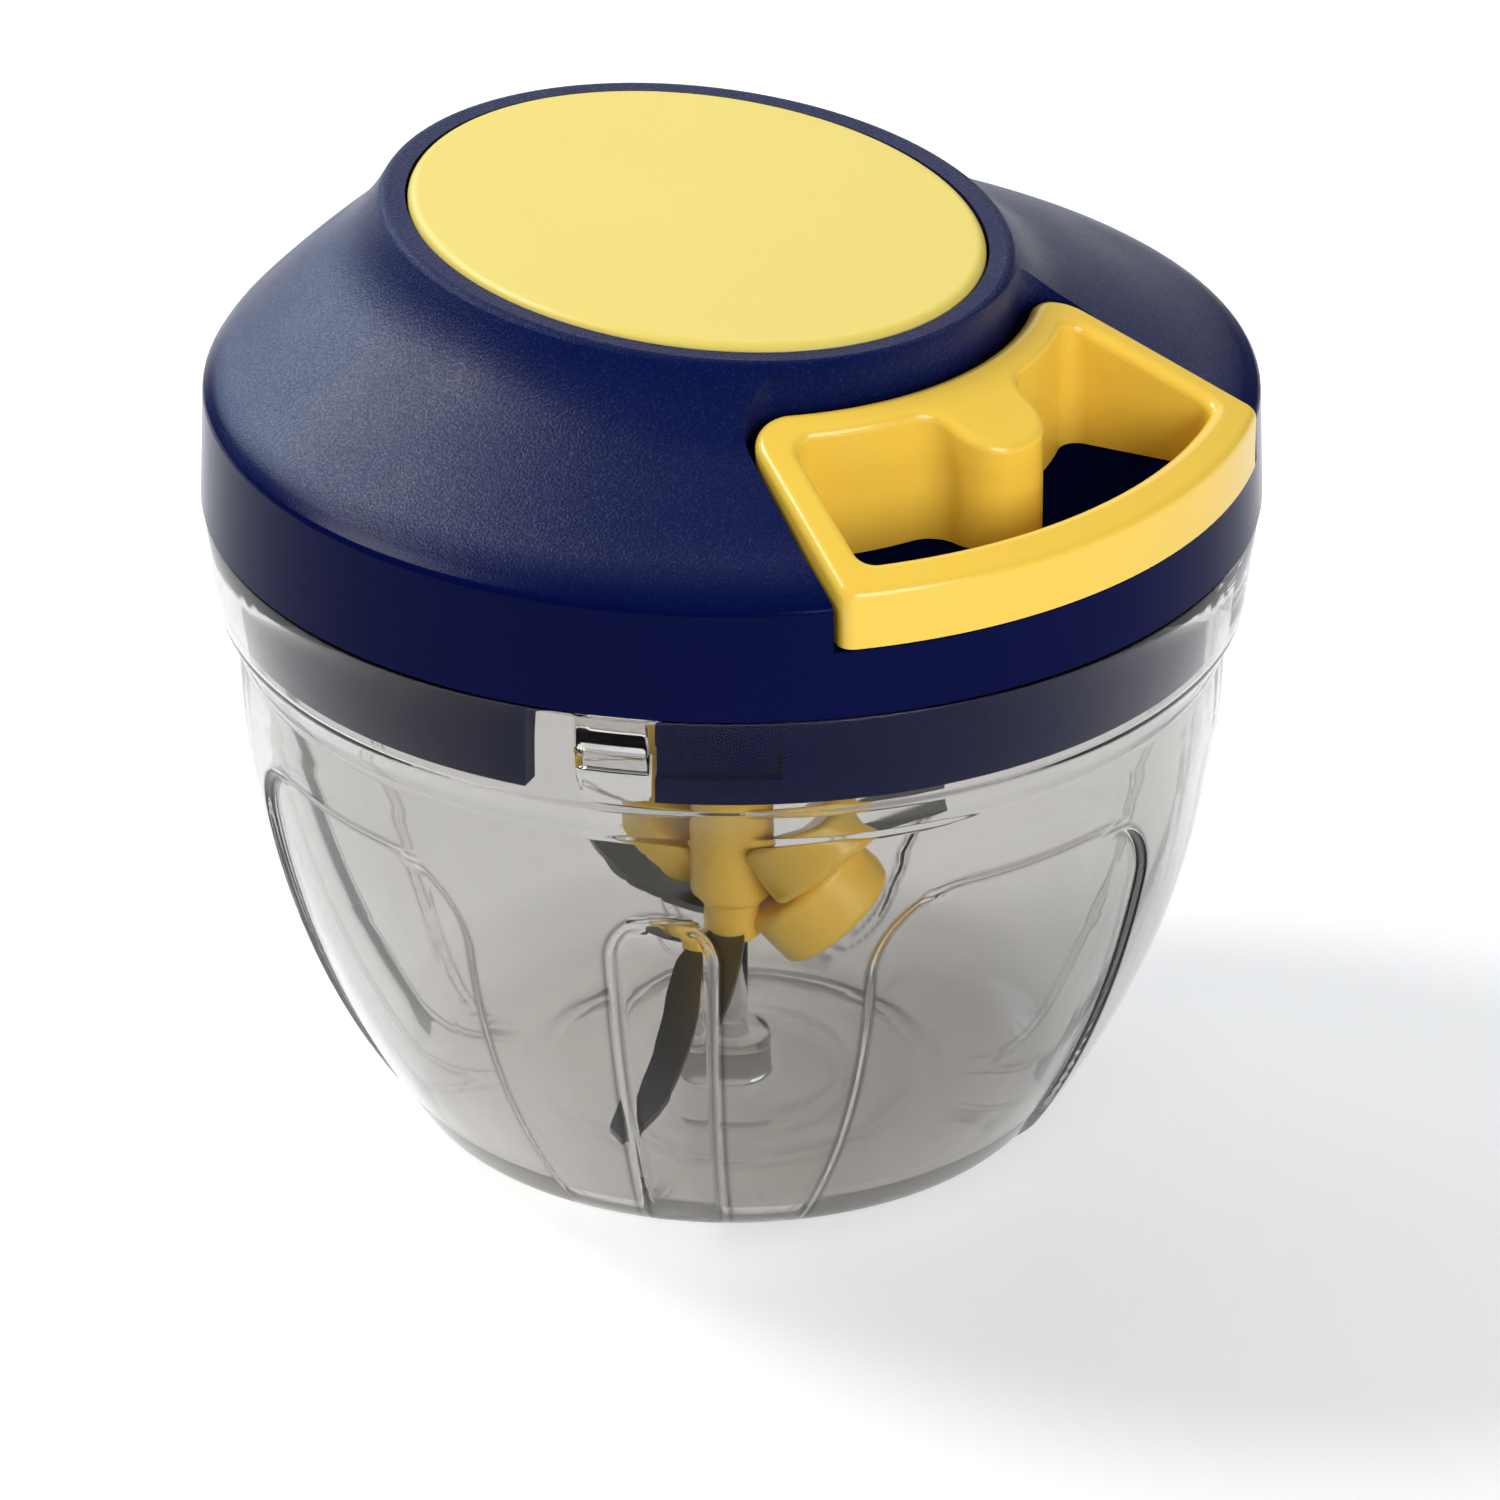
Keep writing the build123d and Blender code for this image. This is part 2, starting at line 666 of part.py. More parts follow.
# Axle
axle_bottom = washer_bottom + axle_washer
axle_top = cap_floor + seat_gap
with BuildPart() as axle:
    with BuildSketch(Plane.XY.offset(axle_bottom)):
        Circle(axle_radius)
        Circle(axle_screw_radius, mode=Mode.SUBTRACT)
    extrude(amount=axle_top - axle_bottom)


def washer(level):
    """A flat ring around an axle screw, standing on the given level."""
    with BuildPart() as ring:
        with BuildSketch(Plane.XY.offset(level)):
            Circle(axle_washer_radius)
            Circle(axle_screw_radius, mode=Mode.SUBTRACT)
        extrude(amount=axle_washer)
    return ring.part


def axle_screw(head_level, direction):
    """A cross-slotted screw whose head rests on head_level and whose shank runs the other way."""
    face = Plane(origin=(0, 0, head_level), z_dir=(0, 0, direction))
    with BuildPart() as screw:
        with BuildSketch(face):
            Circle(screw_head_radius)
        extrude(amount=screw_head_height)
        with BuildSketch(face):
            Circle(axle_screw_radius)
        extrude(amount=-screw_length)
        with BuildSketch(face.offset(screw_head_height)):
            Rectangle(screw_head_radius * 2, screw_slot_width)
            Rectangle(screw_slot_width, screw_head_radius * 2)
        extrude(amount=-screw_head_height / 2, mode=Mode.SUBTRACT)
    return screw.part


# Clutch hub that carries the pawls and drives the blades
pawl_angles = [360 / pawl_count * i for i in range(pawl_count)]
with BuildPart() as clutch_hub:
    with BuildSketch(Plane.XY.offset(hub_bottom)):
        Circle(hub_radius)
    extrude(amount=hub_drop)
    with BuildSketch(Plane.XY.offset(hub_top - hub_flange)):
        Circle(hub_flange_radius)
    extrude(amount=hub_flange)
    with BuildSketch(Plane.XY.offset(hub_top)):
        Circle(hub_boss_radius)
    extrude(amount=ratchet_height)
    with BuildSketch(Plane.XY.offset(hub_bottom)):
        RegularPolygon(drive_width / 2 + running_gap, drive_sides, major_radius=False)
    extrude(amount=web_bottom - hub_bottom, mode=Mode.SUBTRACT)
    with BuildSketch(Plane.XY.offset(web_bottom)):
        Circle(axle_radius + running_gap)
    extrude(amount=reel_bottom - web_bottom, mode=Mode.SUBTRACT)
    with BuildSketch(Plane.XY.offset(hub_top - hub_flange)):
        for angle in pawl_angles:
            with Locations(polar(pawl_pivot_radius, pawl_pivot_angle + angle)):
                Circle(pawl_pin_radius)
    extrude(amount=hub_flange, mode=Mode.SUBTRACT)

with BuildPart() as pawl_pins:
    with BuildSketch(Plane.XY.offset(hub_top - hub_flange)):
        for angle in pawl_angles:
            with Locations(polar(pawl_pivot_radius, pawl_pivot_angle + angle)):
                Circle(pawl_pin_radius)
    extrude(amount=hub_flange + ratchet_height)


def pawl(angle):
    """One pawl, from the eye on its pin to the tip behind a ratchet tooth."""
    eye = polar(pawl_pivot_radius, pawl_pivot_angle + angle)
    with BuildPart() as lever:
        with BuildSketch(Plane.XY.offset(hub_top + seat_gap)):
            with Locations(eye):
                Circle(pawl_eye_radius)
            with Locations(polar(pawl_tip_reach, pawl_tip_angle + angle)):
                Circle(pawl_tip_radius)
            make_hull()
            with Locations(eye):
                Circle(pawl_pin_radius + seat_gap, mode=Mode.SUBTRACT)
        extrude(amount=ratchet_height - running_gap)
    return lever.part


def inner_radius(height):
    """The radius of the bowl's inner wall at a height below its shoulder."""
    drop = body_top - floor_top
    bend = (body_taper ** 2 + drop ** 2) / (2 * body_taper)
    return body_radius - bowl_wall - bend + sqrt(bend ** 2 - (body_top - height) ** 2)


def rising_plane(reach, rise, height, angle):
    """A plane that meets the axis at a height and climbs by rise over reach along an angle."""
    ahead = polar(1, angle)
    return Plane(origin=(0, 0, height), x_dir=(ahead[0] * reach, ahead[1] * reach, rise),
                 z_dir=(-ahead[0] * rise, -ahead[1] * rise, reach))


def blade(height, drop, clearance, angle):
    """One swept-back steel blade, level or dropping outwards, with its cutting edge leading."""
    reach = inner_radius(height - drop) - clearance
    length = sqrt(reach ** 2 + drop ** 2)
    middle = (blade_root + length) / 2
    half = blade_width / 2
    with BuildPart() as plate:
        with BuildSketch(rising_plane(reach, -drop, height, angle)):
            with BuildLine():
                edge = ThreePointArc((blade_root, half * root_share), (middle, half * edge_share),
                                     (length, -blade_bow))
                spine = ThreePointArc((blade_root, -half * root_share), (middle, -half * spine_share),
                                      (length - half * tip_share, -blade_bow - half * tip_share))
                Line(edge @ 0, spine @ 0)
                Line(edge @ 1, spine @ 1)
            make_face()
        extrude(amount=blade_thickness / 2, both=True)
    return plate.part


blades = {}
for name, rise, drop, clearance, angle in zip(blade_names, blade_heights, blade_drops, blade_clearances,
                                              blade_angles):
    blades[f"blade_{name}"] = blade(stem_bottom + rise, drop, clearance, angle)


def wing(height, angle):
    """A thick oval wing of the holder that climbs outwards from the stem and stirs the food."""
    climb = wing_reach * tan(radians(wing_tilt))
    with BuildPart() as paddle:
        with BuildSketch(rising_plane(wing_reach, climb, height - climb, angle)):
            with Locations((sqrt(wing_reach ** 2 + climb ** 2), 0)):
                Ellipse(wing_half_length, wing_half_width)
        extrude(amount=wing_thickness / 2, both=True)
        fillet(paddle.edges().filter_by(GeomType.ELLIPSE), wing_rounding)
    return paddle.part


# Blade holder: a stem with a slim neck on the bowl's pin, three wings and a six-sided drive head
drive_bottom = drive_top - drive_height
wings = [wing(stem_bottom + rise, angle) for rise, angle in zip(wing_heights, wing_angles)]
with BuildPart() as blade_holder:
    with BuildSketch(Plane.XY.offset(stem_bottom + neck_height)):
        Circle(stem_radius)
    extrude(amount=drive_bottom - stem_bottom - neck_height)
    fillet(blade_holder.edges().group_by(Axis.Z)[0], stem_rounding)
    with BuildSketch(Plane.XY.offset(stem_bottom)):
        Circle(neck_radius)
    extrude(amount=neck_height)
    with BuildSketch(Plane.XY.offset(drive_bottom)):
        RegularPolygon(drive_width / 2, drive_sides, major_radius=False)
    extrude(amount=drive_height)
    chamfer(blade_holder.edges().group_by(Axis.Z)[-1], drive_chamfer)
    for paddle in wings:
        add(paddle)
    with BuildSketch(Plane.XY.offset(stem_bottom)):
        Circle(pin_radius + running_gap)
    extrude(amount=pin_top + running_gap - stem_bottom, mode=Mode.SUBTRACT)
    for plate in blades.values():
        add(plate, mode=Mode.SUBTRACT)

pieces = {
    "bowl": bowl.part,
    "lid_housing": lid_housing.part,
    "lid_base": lid_base.part,
    "base_screws": base_screws.part,
    "top_cap": top_cap.part,
    "pull_handle": pull_handle.part,
    "pull_cord": pull_cord.part,
    "cord_knot": cord_knot.part,
    "cord_guide": cord_guide.part,
    "cord_winding": cord_winding.part,
    "reel": reel.part,
    "return_spring": return_spring.part,
    "spring_cover": spring_cover.part,
    "axle": axle.part,
    "top_washer": washer(axle_top),
    "top_screw": axle_screw(axle_top + axle_washer, 1),
    "hub_washer": washer(washer_bottom),
    "hub_screw": axle_screw(washer_bottom, -1),
    "clutch_hub": clutch_hub.part,
    "pawl_pins": pawl_pins.part,
    "blade_holder": blade_holder.part,
    **blades,
}
for index, angle in enumerate(pawl_angles):
    pieces[f"pawl_{index + 1}"] = pawl(angle)

for name, piece in pieces.items():
    piece.label = name
    export_step(piece, f"parts/{name}.step")
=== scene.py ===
import json
import math

import bpy
import numpy as np
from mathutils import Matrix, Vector


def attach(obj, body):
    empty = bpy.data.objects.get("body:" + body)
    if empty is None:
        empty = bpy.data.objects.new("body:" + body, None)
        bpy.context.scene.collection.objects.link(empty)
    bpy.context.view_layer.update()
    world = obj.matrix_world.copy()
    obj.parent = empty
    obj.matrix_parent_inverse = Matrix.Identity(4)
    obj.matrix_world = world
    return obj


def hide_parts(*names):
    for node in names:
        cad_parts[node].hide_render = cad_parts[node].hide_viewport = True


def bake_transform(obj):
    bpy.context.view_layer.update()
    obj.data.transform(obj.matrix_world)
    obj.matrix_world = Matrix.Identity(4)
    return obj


# A hand-pulled vegetable chopper dressed for its photograph, in metres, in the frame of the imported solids.
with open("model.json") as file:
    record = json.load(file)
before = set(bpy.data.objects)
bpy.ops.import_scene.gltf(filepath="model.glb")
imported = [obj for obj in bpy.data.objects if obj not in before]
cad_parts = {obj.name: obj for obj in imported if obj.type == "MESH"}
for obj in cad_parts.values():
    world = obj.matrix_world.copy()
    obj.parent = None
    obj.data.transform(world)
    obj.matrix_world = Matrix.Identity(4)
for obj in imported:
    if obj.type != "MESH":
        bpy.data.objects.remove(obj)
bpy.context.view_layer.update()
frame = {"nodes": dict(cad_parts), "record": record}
nodes = frame["nodes"]

# Camera of the photograph: a long lens that looks down at the line between lid and bowl
PARTING_HEIGHT = 0.081
CAMERA_AZIMUTH = math.radians(-45.0)
CAMERA_ELEVATION = math.radians(25.97)
CAMERA_DISTANCE = 1.2
CAMERA_CLIP_END = 20
PHOTO_SIZE = 1500
FOCAL_PIXELS = 10178.6
PARTING_PIXEL = (731.9, 480.7)
SENSOR_WIDTH = 36.0

# Bowl shell
BOWL_HEIGHT = 0.081
RIM_RADIUS = 0.0623
COLLAR_FOOT_RADIUS = 0.0609
COLLAR_FOOT_HEIGHT = 0.0683
BODY_RADIUS = 0.0586
BODY_TOP = 0.0635
FOOT_RADIUS = 0.0376
SHOULDER_EASE = 0.0005
BOWL_WALL = 0.0022
FLOOR_TOP = 0.0024
FLOOR_CORNER = 0.010
FOOT_RING_INNER = 0.0270
FOOT_RECESS = 0.0008
FOOT_SLOPE = 0.0040
FOOT_ROUNDING = 0.012
RIM_ROUNDING = 0.0006
POST_RADIUS = 0.0047
POST_TOP = 0.0075
PIN_RADIUS = 0.0019
PIN_TOP = 0.032
EDGE_EASE = 0.0003
FLOOR_RINGS = (0.0135, 0.0225)
RING_HALF_WIDTH = 0.0008
RING_HEIGHT = 0.0002

# Bayonet lugs on the bowl's inner wall
LUG_TURN = math.radians(-5.0)
LUG_LOW = 0.0728
LUG_HIGH = 0.0758
LUG_REACH = 0.0016
LUG_HALF_WIDTH = 0.00415
LUG_EASE = 0.0002
# Painted shade that darkens the lugs' tint
LUG_PAINTED_SHADE = -0.4

# Grip panels and flutes around the bowl, with painted highlight and painted shade along their outlines
PATTERN_COUNT = 4
PATTERN_STEP = 2 * math.pi / PATTERN_COUNT
FIRST_FLUTE_ANGLE = math.radians(-143.0)
PANEL_HALF_WIDTH = 0.020
PANEL_FOOT_HALF_WIDTH = 0.0165
PANEL_TOP = 0.055
PANEL_CORNER = 0.0105
PANEL_DEPTH = 0.0008
PANEL_EDGE = 0.0009
FLUTE_HALF_WIDTH = 0.0063
FLUTE_FOOT_HALF_WIDTH = 0.0047
FLUTE_TOP = 0.0534
FLUTE_CORNER = 0.0062
FLUTE_DEPTH = 0.0012
FLUTE_EDGE = 0.0011
FLUTE_EDGE_SHARE = 0.45
# Painted highlight on each outline and painted shade beside it: their widths and the shade's distance from the
# outline
PAINTED_HIGHLIGHT_WIDTH = 0.00026
PAINTED_SHADE_OFFSET = 0.0006
PAINTED_SHADE_WIDTH = 0.0003

# Spacing of the bowl's mesh, finest where the outlines run
FINE_ANGLE = math.radians(0.32)
COARSE_ANGLE = math.radians(2.0)
SHOULDER_ROW = 0.00025
FINE_ROW = 0.00036
COARSE_ROW = 0.0020
PLAIN_ROW = 0.0045
ARCH_ROWS = (0.042, 0.0562)
RECESS_STEPS = 4
SLOPE_POINTS = 7
CORNER_STEPS = 10
ROUND_STEPS = 4
EASE_STEPS = 2
# Stretches of one quarter in degrees from the middle of its flute
COLUMN_STRETCHES = (
    (-10, -4, FINE_ANGLE), (-4, -2, COARSE_ANGLE), (-2, 0, FINE_ANGLE), (0, 4, COARSE_ANGLE), (4, 9, FINE_ANGLE),
    (9, 17, COARSE_ANGLE), (17, 30, FINE_ANGLE), (30, 60, COARSE_ANGLE), (60, 73, FINE_ANGLE), (73, 80, COARSE_ANGLE),
)

BODY_TAPER = BODY_RADIUS - FOOT_RADIUS
BODY_BEND = (BODY_TAPER ** 2 + BODY_TOP ** 2) / (2 * BODY_TAPER)


def smooth_step(low, high, value):
    share = np.clip((value - low) / (high - low), 0, 1)
    return share * share * (3 - 2 * share)


def eased_ramp(low, high, ease, value):
    """A straight ramp from 0 at low to 1 at high whose two bends are rounded over ease each way."""
    rise = np.maximum(value - low + ease, 0) ** 2 / (4 * ease)
    rise = np.where(value > low + ease, value - low, rise)
    fall = np.maximum(value - high + ease, 0) ** 2 / (4 * ease)
    fall = np.where(value > high + ease, value - high, fall)
    return (rise - fall) / (high - low)


def eased_box(low, high, value):
    """1 from low to high and 0 outside, with steep sides within the stretch."""
    return smooth_step(low, low + LUG_EASE, value) * (1 - smooth_step(high - LUG_EASE, high, value))


def spread(*stretches):
    """Values along a row of stretches, each given as its end points and the step between values."""
    values = []
    for start, end, step in stretches:
        count = max(1, round((end - start) / step))
        values.extend(start + (end - start) * i / count for i in range(count))
    return values


def body_radius(height):
    """Outer radius of the bowl below its rim, without its panels and flutes."""
    below = np.maximum(BODY_TOP - height, 0)
    body = BODY_RADIUS - BODY_BEND + np.sqrt(BODY_BEND ** 2 - below ** 2)
    slope = (RIM_RADIUS - COLLAR_FOOT_RADIUS) / (BOWL_HEIGHT - COLLAR_FOOT_HEIGHT)
    collar = COLLAR_FOOT_RADIUS + slope * (height - COLLAR_FOOT_HEIGHT)
    share = eased_ramp(BODY_TOP, COLLAR_FOOT_HEIGHT, SHOULDER_EASE, height)
    return body + (collar - body) * share


def arch_distance(side, height, half_width, half_foot, top, corner):
    """Distance from an arch's outline, negative inside it."""
    half = half_foot + (half_width - half_foot) * np.clip(height / (top - corner), 0, 1)
    across = np.abs(side) - (half - corner)
    up = height - (top - corner)
    outside = np.hypot(np.maximum(across, 0), np.maximum(up, 0))
    return outside + np.minimum(np.maximum(across, up), 0) - corner


def outline_light_and_shade(distance):
    """1 on an outline, where a highlight is painted, and -1 beside it, where shade is painted."""
    light = np.exp(-(distance / PAINTED_HIGHLIGHT_WIDTH) ** 2)
    shade = np.exp(-((np.abs(distance) - PAINTED_SHADE_OFFSET) / PAINTED_SHADE_WIDTH) ** 2)
    return light - shade


def pattern(angle, radius, height):
    """How far the panels and flutes lie below the bowl's skin, and the painted highlight and shade along their
    outlines.
    """
    depth = np.zeros_like(angle)
    painted_light_and_shade = np.zeros_like(angle)
    for index in range(PATTERN_COUNT):
        turn = angle - FIRST_FLUTE_ANGLE - PATTERN_STEP * index
        ahead = np.cos(turn) > 0
        flute = arch_distance(radius * np.sin(turn), height, FLUTE_HALF_WIDTH, FLUTE_FOOT_HALF_WIDTH,
                              FLUTE_TOP, FLUTE_CORNER)
        inside = np.clip(-flute / FLUTE_HALF_WIDTH, 0, 1)
        hollow = FLUTE_EDGE_SHARE + (1 - FLUTE_EDGE_SHARE) * (1 - (1 - inside) ** 2)
        depth += np.where(ahead, FLUTE_DEPTH * smooth_step(0, FLUTE_EDGE, -flute) * hollow, 0)
        painted_light_and_shade += np.where(ahead, outline_light_and_shade(flute), 0)
        turn = turn - PATTERN_STEP / 2
        ahead = np.cos(turn) > 0
        panel = arch_distance(radius * np.sin(turn), height, PANEL_HALF_WIDTH, PANEL_FOOT_HALF_WIDTH,
                              PANEL_TOP, PANEL_CORNER)
        depth += np.where(ahead, PANEL_DEPTH * smooth_step(-PANEL_EDGE / 2, PANEL_EDGE / 2, -panel), 0)
        painted_light_and_shade += np.where(ahead, outline_light_and_shade(panel), 0)
    return depth, np.clip(painted_light_and_shade, -1, 1)


def lug_rise(angle, radius, height):
    """How far the bayonet lugs stand out from the bowl's inner wall."""
    level = eased_box(LUG_LOW, LUG_HIGH, height)
    rise = np.zeros_like(angle)
    for index in range(PATTERN_COUNT):
        turn = angle - FIRST_FLUTE_ANGLE - LUG_TURN - PATTERN_STEP * index
        side = np.where(np.cos(turn) > 0, radius * np.sin(turn), radius)
        rise += LUG_REACH * level * eased_box(-LUG_HALF_WIDTH, LUG_HALF_WIDTH, side)
    return rise


def quarter_round(centre, radius, start, end, count=ROUND_STEPS):
    """Points of an arc in the bowl's section, from start to end in degrees."""
    turns = [math.radians(start + (end - start) * i / count) for i in range(count + 1)]
    return [(centre[0] + radius * math.cos(a), centre[1] + radius * math.sin(a)) for a in turns]


def stepped_edge(radius, low, high):
    """Points up a post's side from its eased foot at low to its eased edge at high."""
    foot = quarter_round((radius + EDGE_EASE, low + EDGE_EASE), EDGE_EASE, -90, -180, EASE_STEPS)
    return foot + quarter_round((radius - EDGE_EASE, high - EDGE_EASE), EDGE_EASE, 0, 90, EASE_STEPS)


def foot_corner(wall, level, rounding):
    """Points of the arc that joins a level floor to the bowl's curved side, from the floor up. The side is
    drawn in by wall."""
    bend_centre = BODY_RADIUS - wall - BODY_BEND
    height = level + rounding
    drop = BODY_TOP - height
    aside = math.sqrt((BODY_BEND - rounding) ** 2 - drop ** 2)
    end = -math.degrees(math.atan2(drop, aside))
    return quarter_round((bend_centre + aside, height), rounding, -90, end, CORNER_STEPS)


def bowl_section():
    """The bowl's closed section as (radius, height) from the foot's centre round to the pin's tip, the rows
    of it that carry the pattern and the rows of its inner wall."""
    low_bend, high_bend = [(bend - SHOULDER_EASE, bend + SHOULDER_EASE, SHOULDER_ROW)
                           for bend in (BODY_TOP, COLLAR_FOOT_HEIGHT)]
    collar_top = BOWL_HEIGHT - RIM_ROUNDING

    section = [(FOOT_RING_INNER * i / RECESS_STEPS, FOOT_RECESS) for i in range(1, RECESS_STEPS)]
    slope = np.linspace(0, 1, SLOPE_POINTS)
    section += [(FOOT_RING_INNER - FOOT_SLOPE * (1 - s), FOOT_RECESS * (1 - smooth_step(0, 1, s))) for s in slope]
    first = len(section)
    section += foot_corner(0, 0, FOOT_ROUNDING)
    heights = spread((section[-1][1] + COARSE_ROW, ARCH_ROWS[0], COARSE_ROW), (*ARCH_ROWS, FINE_ROW),
                     (ARCH_ROWS[1], low_bend[0], COARSE_ROW), low_bend,
                     (low_bend[1], high_bend[0], COARSE_ROW), high_bend)
    section += [(float(body_radius(z)), z) for z in heights]
    last = len(section)
    section += [(float(body_radius(z)), z) for z in spread((high_bend[1], collar_top, PLAIN_ROW))]
    section += quarter_round((RIM_RADIUS - RIM_ROUNDING, collar_top), RIM_ROUNDING, 0, 90)
    section += quarter_round((RIM_RADIUS - BOWL_WALL + RIM_ROUNDING, collar_top), RIM_ROUNDING, 90, 180)

    corner = foot_corner(BOWL_WALL, FLOOR_TOP, FLOOR_CORNER)
    inner = spread((corner[-1][1] + COARSE_ROW, low_bend[0], PLAIN_ROW), low_bend,
                   (low_bend[1], high_bend[0], PLAIN_ROW), high_bend,
                   (high_bend[1], LUG_LOW, PLAIN_ROW), (LUG_LOW, LUG_LOW + LUG_EASE, LUG_EASE / 2),
                   (LUG_LOW + LUG_EASE, LUG_HIGH - LUG_EASE, PLAIN_ROW),
                   (LUG_HIGH - LUG_EASE, LUG_HIGH, LUG_EASE / 2), (LUG_HIGH, collar_top, PLAIN_ROW))
    wall = (len(section), len(section) + len(inner))
    section += [(float(body_radius(z)) - BOWL_WALL, z) for z in reversed(inner)]
    section += reversed(corner)
    for ring in reversed(FLOOR_RINGS):
        section += [(ring + RING_HALF_WIDTH, FLOOR_TOP), (ring + RING_HALF_WIDTH / 2, FLOOR_TOP + RING_HEIGHT),
                    (ring - RING_HALF_WIDTH / 2, FLOOR_TOP + RING_HEIGHT), (ring - RING_HALF_WIDTH, FLOOR_TOP)]
    section += stepped_edge(POST_RADIUS, FLOOR_TOP, POST_TOP)
    section += stepped_edge(PIN_RADIUS, POST_TOP, PIN_TOP)
    return np.array(section), (first, last), wall


def pattern_columns():
    """Angles around the bowl, close together where the pattern's edges run."""
    degree = math.radians(1)
    columns = []
    for index in range(PATTERN_COUNT):
        start = FIRST_FLUTE_ANGLE + PATTERN_STEP * index
        columns += spread(*[(start + low * degree, start + high * degree, gap)
                            for low, high, gap in COLUMN_STRETCHES])
    return np.array(columns)


def mesh_object(name, vertices, faces):
    mesh = bpy.data.meshes.new(name)
    mesh.from_pydata([tuple(v) for v in vertices], [], faces)
    mesh.validate()
    mesh.shade_smooth()
    piece = bpy.data.objects.new(name, mesh)
    bpy.context.scene.collection.objects.link(piece)
    return piece


def revolved(name, section, columns, depth):
    """A closed turned mesh whose points are drawn in by depth, one row of it for each point of the section."""
    radius = section[:, 0][:, None] - depth
    height = np.repeat(section[:, 1][:, None], len(columns), axis=1)
    points = np.stack([radius * np.cos(columns), radius * np.sin(columns), height], axis=-1).reshape(-1, 3)
    rows, count = len(section), len(columns)
    ends = np.array([[0, 0, section[0, 1]], [0, 0, section[-1, 1]]])
    vertices = np.concatenate([points, ends])
    faces = []
    for row in range(rows - 1):
        low, high = row * count, (row + 1) * count
        for i in range(count):
            j = (i + 1) % count
            faces.append((low + i, low + j, high + j, high + i))
    top = (rows - 1) * count
    for i in range(count):
        j = (i + 1) % count
        faces.append((rows * count, j, i))
        faces.append((top + i, top + j, rows * count + 1))
    return mesh_object(name, vertices, faces)


def make_bowl():
    """The bowl with its pattern pressed in, its lugs raised, and painted highlight and shade on its outlines and lugs
    stored on its points.
    """
    section, skin, wall = bowl_section()
    columns = pattern_columns()
    angle, height = np.meshgrid(columns, section[:, 1])
    radius = np.repeat(section[:, 0][:, None], len(columns), axis=1)
    outside, inside = slice(*skin), slice(*wall)
    sunk, painted_light_and_shade = pattern(angle, radius, height)
    lugs = lug_rise(angle, radius, height)[inside]
    depth = np.zeros_like(angle)
    depth[outside] = np.maximum(sunk - (body_radius(height) - radius), 0)[outside]
    depth[inside] = lugs
    made = revolved("clear_bowl", section, columns, depth)
    painted_tone = np.zeros(len(made.data.vertices))
    grid = painted_tone[:angle.size].reshape(angle.shape)
    # Painted highlight and shade along the outlines, and painted shade on the lugs
    grid[outside] = painted_light_and_shade[outside]
    grid[inside] = LUG_PAINTED_SHADE * np.abs(lugs) / LUG_REACH
    made.data.attributes.new("painted_light_and_shade", "FLOAT", "POINT").data.foreach_set("value", painted_tone)
    return made


def new_material(name):
    material = bpy.data.materials.new(name)
    material.use_nodes = True
    tree = material.node_tree
    return material, tree, tree.nodes["Principled BSDF"]


def node(tree, kind, **values):
    """A new node with its inputs set by name."""
    made = tree.nodes.new(kind)
    for key, value in values.items():
        made.inputs[key].default_value = value
    return made


def object_coordinates(tree):
    return tree.nodes.new("ShaderNodeTexCoord").outputs["Object"]


def separated(tree, where):
    made = tree.nodes.new("ShaderNodeSeparateXYZ")
    tree.links.new(where, made.inputs["Vector"])
    return made.outputs


def noise(tree, where, scale, detail=2.0, roughness=0.5):
    made = node(tree, "ShaderNodeTexNoise", Scale=scale, Detail=detail, Roughness=roughness)
    tree.links.new(where, made.inputs["Vector"])
    return made.outputs["Fac"]


def remap(tree, value, source, target):
    """The value's stretch source mapped to the stretch target, and held at its ends."""
    made = node(tree, "ShaderNodeMapRange")
    for index, number in enumerate((*source, *target)):
        made.inputs[index + 1].default_value = number
    tree.links.new(value, made.inputs["Value"])
    return made.outputs["Result"]


def combined(tree, operation, one, other):
    made = tree.nodes.new("ShaderNodeMath")
    made.operation = operation
    tree.links.new(one, made.inputs[0])
    tree.links.new(other, made.inputs[1])
    return made.outputs["Value"]


def colour_mix(tree, share, first, second):
    made = tree.nodes.new("ShaderNodeMix")
    made.data_type = "RGBA"
    tree.links.new(share, made.inputs["Factor"])
    for value, socket in ((first, made.inputs[6]), (second, made.inputs[7])):
        if isinstance(value, tuple):
            socket.default_value = (*value, 1)
        else:
            tree.links.new(value, socket)
    return made.outputs[2]


def bump(tree, height, strength, distance):
    made = node(tree, "ShaderNodeBump", Distance=distance)
    if isinstance(strength, float):
        made.inputs["Strength"].default_value = strength
    else:
        tree.links.new(strength, made.inputs["Strength"])
    tree.links.new(height, made.inputs["Height"])
    return made.outputs["Normal"]


WHOLE = (0.0, 1.0)

# Navy lid: a glossy band, a grained dome whose sparkle is partly real gloss and partly painted as light specks, a
# plainer lip and a dull pocket
SHOULDER_HEIGHT = 0.09465
DOME_GRAIN = (SHOULDER_HEIGHT - 0.0004, SHOULDER_HEIGHT + 0.0030)
NO_GRAIN = (1.0, 2.0)
LIP_HEIGHTS = (SHOULDER_HEIGHT + 0.0125, SHOULDER_HEIGHT + 0.0165)
LIP_SHEEN = (1.0, 0.35)
POCKET_REACHES = (0.052, 0.058)
POCKET_SHEEN = (0.0, 0.04)
GRAIN_SCALE = 3200.0
GRAIN_ROUGHNESS = 0.6
GRAIN_HEIGHT = 0.00012
GRAIN_STRENGTH = (0.02, 0.7)
PATCH_SCALE = 70.0
PATCH_DETAIL = 3.0
PATCH_RANGE = (0.3, 0.7)
GLOSSY_NAVY = ((0.0006, 0.0024, 0.040), (0.0010, 0.0032, 0.048))
